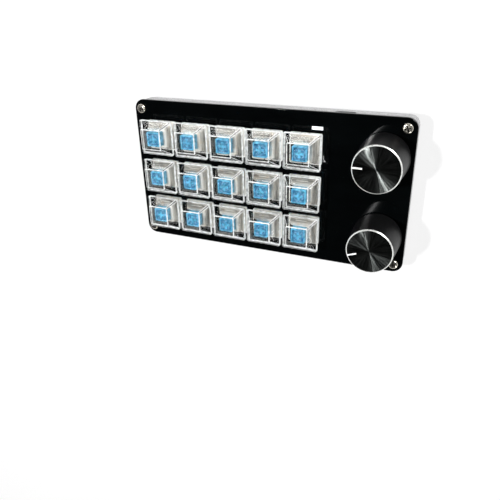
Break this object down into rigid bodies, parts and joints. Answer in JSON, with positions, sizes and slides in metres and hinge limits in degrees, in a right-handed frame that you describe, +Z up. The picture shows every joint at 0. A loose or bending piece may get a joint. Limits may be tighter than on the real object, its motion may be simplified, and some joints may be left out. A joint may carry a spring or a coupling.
{
  "type": "macro keypad",
  "caption": "Desktop macro keypad: clear-capped mechanical push keys in rows beside push-and-turn dial knobs, on a glossy black plate over a shallow case with a cable socket.",
  "frame": {"origin": "centre of the outline, on the surface that the rubber feet stand on", "axes": "+X along the rows of keys towards the knobs, +Y towards the edge with the cable socket, +Z up"},
  "size_m": [0.1406, 0.0738, 0.0307],
  "materials": {
    "gloss_black": "polished",
    "case_grey": "satin",
    "case_matte": "fine texture",
    "foot_rubber": "matt",
    "nickel": "bright nickel plate",
    "dark_steel": "black oxide",
    "brass": "turned",
    "board": "black solder mask",
    "switch_white": "milky",
    "switch_clear": "clear",
    "spring_steel": "bright wire",
    "contact_brass": "gold flashed",
    "socket_black": "moulded",
    "led_white": "moulded",
    "component_black": "moulded",
    "chip_black": "moulded",
    "steel": "bright",
    "light_white": "diffusing white",
    "encoder_plastic": "moulded",
    "cast_zinc": "die cast",
    "cap_clear": "clear, polished",
    "stem_blue": "moulded",
    "knob_black": "black anodised, spun top, bright cut rim"
  },
  "bodies": {
    "base": {"face_plate": "gloss_black", "side_frame": "case_grey", "bottom_cover": "case_matte", "rubber_feet": "foot_rubber", "face_screws": "nickel", "bottom_screws": "dark_steel", "threaded_standoffs": "brass", "circuit_board": "board", "switch_lower_housings": "switch_white", "switch_upper_housings": "switch_clear", "switch_springs": "spring_steel", "switch_contacts": "contact_brass", "hot_swap_sockets": "socket_black", "board_leds": "led_white", "board_components": "component_black", "microcontroller": "chip_black", "usb_socket_shell": "steel", "usb_socket_tongue": "socket_black", "status_light_pipe": "light_white", "encoder_bases": "encoder_plastic", "encoder_covers": "steel", "encoder_bushings": "cast_zinc"},
    "key_r1c1": {"keycap_r1c1": "cap_clear", "key_stem_r1c1": "stem_blue"},
    "key_r1c2": {"keycap_r1c2": "cap_clear", "key_stem_r1c2": "stem_blue"},
    "key_r1c3": {"keycap_r1c3": "cap_clear", "key_stem_r1c3": "stem_blue"},
    "key_r1c4": {"keycap_r1c4": "cap_clear", "key_stem_r1c4": "stem_blue"},
    "key_r1c5": {"keycap_r1c5": "cap_clear", "key_stem_r1c5": "stem_blue"},
    "key_r2c1": {"keycap_r2c1": "cap_clear", "key_stem_r2c1": "stem_blue"},
    "key_r2c2": {"keycap_r2c2": "cap_clear", "key_stem_r2c2": "stem_blue"},
    "key_r2c3": {"keycap_r2c3": "cap_clear", "key_stem_r2c3": "stem_blue"},
    "key_r2c4": {"keycap_r2c4": "cap_clear", "key_stem_r2c4": "stem_blue"},
    "key_r2c5": {"keycap_r2c5": "cap_clear", "key_stem_r2c5": "stem_blue"},
    "key_r3c1": {"keycap_r3c1": "cap_clear", "key_stem_r3c1": "stem_blue"},
    "key_r3c2": {"keycap_r3c2": "cap_clear", "key_stem_r3c2": "stem_blue"},
    "key_r3c3": {"keycap_r3c3": "cap_clear", "key_stem_r3c3": "stem_blue"},
    "key_r3c4": {"keycap_r3c4": "cap_clear", "key_stem_r3c4": "stem_blue"},
    "key_r3c5": {"keycap_r3c5": "cap_clear", "key_stem_r3c5": "stem_blue"},
    "encoder_rotor_rear": {"encoder_rotor_rear": "encoder_plastic"},
    "knob_rear": {"knob_rear": "knob_black", "knob_grub_screw_rear": "dark_steel", "encoder_shaft_rear": "steel"},
    "encoder_rotor_front": {"encoder_rotor_front": "encoder_plastic"},
    "knob_front": {"knob_front": "knob_black", "knob_grub_screw_front": "dark_steel", "encoder_shaft_front": "steel"}
  },
  "joints": [
    {"name": "key_r1c1_press", "type": "slide", "parent": "base", "child": "key_r1c1", "axis": [0, 0, -1], "range_m": [0, 0.0036], "stiffness_N_per_m": 83, "springref_m": -0.0036},
    {"name": "key_r1c2_press", "type": "slide", "parent": "base", "child": "key_r1c2", "axis": [0, 0, -1], "range_m": [0, 0.0036], "stiffness_N_per_m": 83, "springref_m": -0.0036},
    {"name": "key_r1c3_press", "type": "slide", "parent": "base", "child": "key_r1c3", "axis": [0, 0, -1], "range_m": [0, 0.0036], "stiffness_N_per_m": 83, "springref_m": -0.0036},
    {"name": "key_r1c4_press", "type": "slide", "parent": "base", "child": "key_r1c4", "axis": [0, 0, -1], "range_m": [0, 0.0036], "stiffness_N_per_m": 83, "springref_m": -0.0036},
    {"name": "key_r1c5_press", "type": "slide", "parent": "base", "child": "key_r1c5", "axis": [0, 0, -1], "range_m": [0, 0.0036], "stiffness_N_per_m": 83, "springref_m": -0.0036},
    {"name": "key_r2c1_press", "type": "slide", "parent": "base", "child": "key_r2c1", "axis": [0, 0, -1], "range_m": [0, 0.0036], "stiffness_N_per_m": 83, "springref_m": -0.0036},
    {"name": "key_r2c2_press", "type": "slide", "parent": "base", "child": "key_r2c2", "axis": [0, 0, -1], "range_m": [0, 0.0036], "stiffness_N_per_m": 83, "springref_m": -0.0036},
    {"name": "key_r2c3_press", "type": "slide", "parent": "base", "child": "key_r2c3", "axis": [0, 0, -1], "range_m": [0, 0.0036], "stiffness_N_per_m": 83, "springref_m": -0.0036},
    {"name": "key_r2c4_press", "type": "slide", "parent": "base", "child": "key_r2c4", "axis": [0, 0, -1], "range_m": [0, 0.0036], "stiffness_N_per_m": 83, "springref_m": -0.0036},
    {"name": "key_r2c5_press", "type": "slide", "parent": "base", "child": "key_r2c5", "axis": [0, 0, -1], "range_m": [0, 0.0036], "stiffness_N_per_m": 83, "springref_m": -0.0036},
    {"name": "key_r3c1_press", "type": "slide", "parent": "base", "child": "key_r3c1", "axis": [0, 0, -1], "range_m": [0, 0.0036], "stiffness_N_per_m": 83, "springref_m": -0.0036},
    {"name": "key_r3c2_press", "type": "slide", "parent": "base", "child": "key_r3c2", "axis": [0, 0, -1], "range_m": [0, 0.0036], "stiffness_N_per_m": 83, "springref_m": -0.0036},
    {"name": "key_r3c3_press", "type": "slide", "parent": "base", "child": "key_r3c3", "axis": [0, 0, -1], "range_m": [0, 0.0036], "stiffness_N_per_m": 83, "springref_m": -0.0036},
    {"name": "key_r3c4_press", "type": "slide", "parent": "base", "child": "key_r3c4", "axis": [0, 0, -1], "range_m": [0, 0.0036], "stiffness_N_per_m": 83, "springref_m": -0.0036},
    {"name": "key_r3c5_press", "type": "slide", "parent": "base", "child": "key_r3c5", "axis": [0, 0, -1], "range_m": [0, 0.0036], "stiffness_N_per_m": 83, "springref_m": -0.0036},
    {"name": "knob_rear_turn", "type": "hinge", "parent": "base", "child": "encoder_rotor_rear", "pos_m": [0.05725, 0.01862, 0.0125], "axis": [0, 0, 1], "continuous": true},
    {"name": "knob_rear_press", "type": "slide", "parent": "encoder_rotor_rear", "child": "knob_rear", "axis": [0, 0, -1], "range_m": [0, 0.0005], "stiffness_N_per_m": 4000, "springref_m": -0.00075},
    {"name": "knob_front_turn", "type": "hinge", "parent": "base", "child": "encoder_rotor_front", "pos_m": [0.05725, -0.01908, 0.0125], "axis": [0, 0, 1], "continuous": true},
    {"name": "knob_front_press", "type": "slide", "parent": "encoder_rotor_front", "child": "knob_front", "axis": [0, 0, -1], "range_m": [0, 0.0005], "stiffness_N_per_m": 4000, "springref_m": -0.00075}
  ]
}
